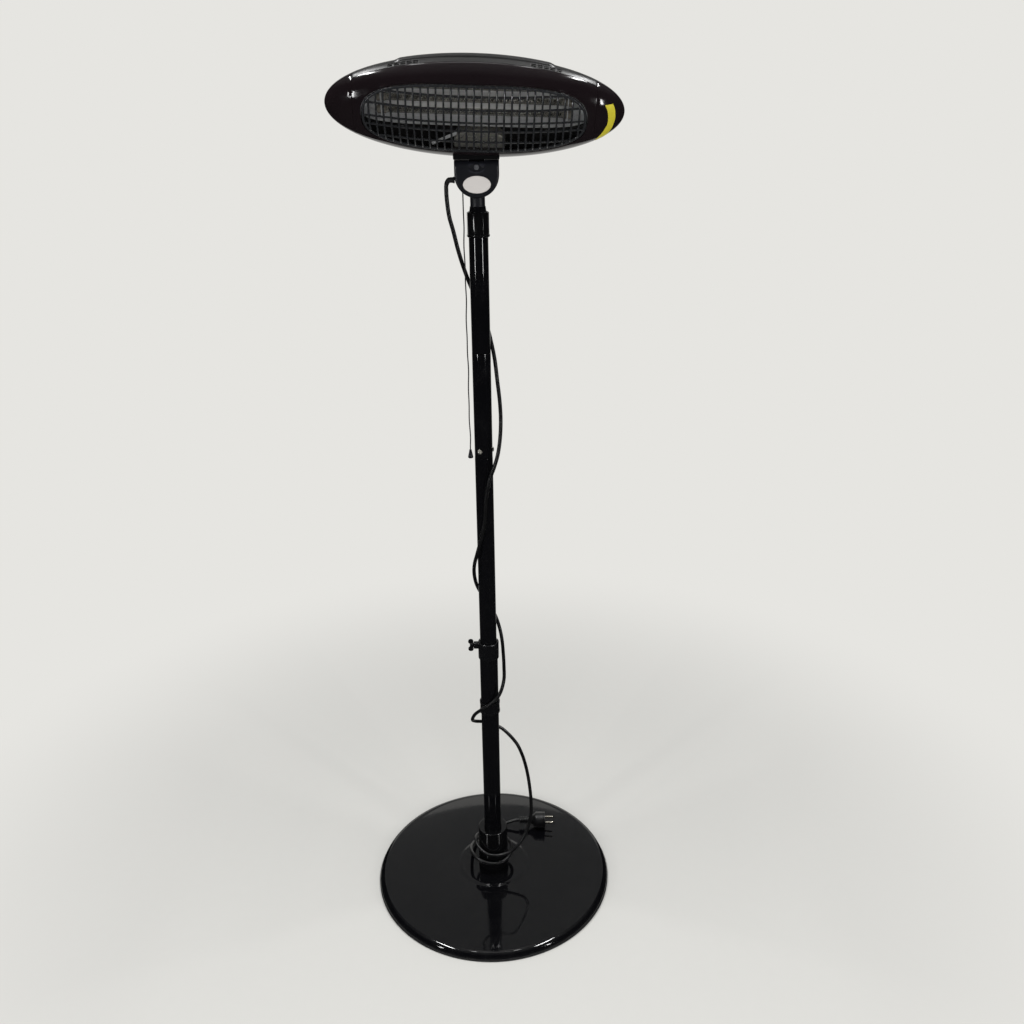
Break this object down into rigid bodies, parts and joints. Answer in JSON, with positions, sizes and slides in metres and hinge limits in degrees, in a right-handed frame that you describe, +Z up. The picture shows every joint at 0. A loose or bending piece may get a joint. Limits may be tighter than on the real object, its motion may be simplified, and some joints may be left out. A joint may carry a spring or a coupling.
{
  "type": "infrared patio heater tower",
  "caption": "Free-standing infrared heater: round weighted base, telescopic pole, and a tilting oval head with quartz lamps behind a wire guard.",
  "frame": {"origin": "on the floor under the pole's axis, at the middle of the object's footprint", "axes": "+Z up along the pole, -Y the side that the heater faces, +X to the right seen from the front"},
  "size_m": [0.5, 0.5, 1.647],
  "materials": {
    "black_enamelled_steel": "gloss black stoving enamel",
    "satin_black_plastic": "moulded satin",
    "gloss_black_plastic": "moulded gloss",
    "black_rubber": "matte",
    "grey_casting": "as cast",
    "zinc_plated_steel": "bright zinc plate",
    "bright_aluminium": "polished sheet",
    "quartz_glass": "clear quartz over a dark element",
    "white_ceramic": "unglazed ceramic",
    "pale_switch_plastic": "moulded satin",
    "black_coated_wire": "black coated",
    "black_cable_jacket": "smooth flexible jacket"
  },
  "bodies": {
    "base": {"base_plate": "black_enamelled_steel", "base_rubber_ring": "black_rubber", "base_weight": "grey_casting", "base_washer": "zinc_plated_steel", "base_bolt": "zinc_plated_steel", "tube_foot_plug": "zinc_plated_steel", "base_collar": "gloss_black_plastic", "lower_tube": "black_enamelled_steel", "stop_ring": "satin_black_plastic", "clamp_collar": "satin_black_plastic", "mains_lead": "black_cable_jacket", "plug_body": "black_cable_jacket", "plug_pin_1": "zinc_plated_steel", "plug_pin_2": "zinc_plated_steel"},
    "wing_screw": {"wing_screw": "satin_black_plastic"},
    "upper_pole": {"pole_tube_bottom": "black_enamelled_steel", "pole_tube_middle": "black_enamelled_steel", "pole_tube_top": "black_enamelled_steel", "joint_screw_1": "zinc_plated_steel", "joint_screw_2": "zinc_plated_steel", "pole_end_plug": "satin_black_plastic", "pole_sleeve": "satin_black_plastic", "lock_cone": "black_enamelled_steel", "neck_stub": "black_enamelled_steel", "neck_housing_front": "satin_black_plastic", "neck_housing_rear": "satin_black_plastic", "tilt_lock_screw": "zinc_plated_steel", "tilt_bolt": "zinc_plated_steel", "tilt_nut": "zinc_plated_steel", "lead_gland": "black_rubber", "pull_cord_bush": "satin_black_plastic", "pull_switch": "pale_switch_plastic"},
    "pull": {"switch_plunger": "pale_switch_plastic", "pull_cord": "black_cable_jacket", "pull_knob": "satin_black_plastic"},
    "head": {"front_shell": "gloss_black_plastic", "rear_shell": "gloss_black_plastic", "end_cap_left": "gloss_black_plastic", "end_cap_right": "gloss_black_plastic", "guard_grille": "black_coated_wire", "reflector": "bright_aluminium", "quartz_tube_1": "quartz_glass", "quartz_tube_2": "quartz_glass", "quartz_tube_3": "quartz_glass", "lamp_cap_left_1": "white_ceramic", "lamp_cap_left_2": "white_ceramic", "lamp_cap_left_3": "white_ceramic", "lamp_cap_right_1": "white_ceramic", "lamp_cap_right_2": "white_ceramic", "lamp_cap_right_3": "white_ceramic", "lamp_bracket_left": "bright_aluminium", "lamp_bracket_right": "bright_aluminium", "tilt_tongue": "black_enamelled_steel", "terminal_cover": "zinc_plated_steel", "earth_strap": "zinc_plated_steel"}
  },
  "joints": [
    {"name": "height_slide", "type": "slide", "parent": "base", "child": "upper_pole", "axis": [0, 0, 1], "range_m": [0, 0.42]},
    {"name": "wing_screw_turn", "type": "hinge", "parent": "base", "child": "wing_screw", "pos_m": [-0.03, 0, 0.579], "axis": [1, 0, 0], "range_deg": [-360, 0]},
    {"name": "head_tilt", "type": "hinge", "parent": "upper_pole", "child": "head", "pos_m": [0, 0, 1.4775], "axis": [1, 0, 0], "range_deg": [-25, 10]},
    {"name": "pull_switch_travel", "type": "slide", "parent": "upper_pole", "child": "pull", "axis": [0, 0, -1], "range_m": [0, 0.006], "stiffness_N_per_m": 300, "springref_m": -0.002}
  ]
}
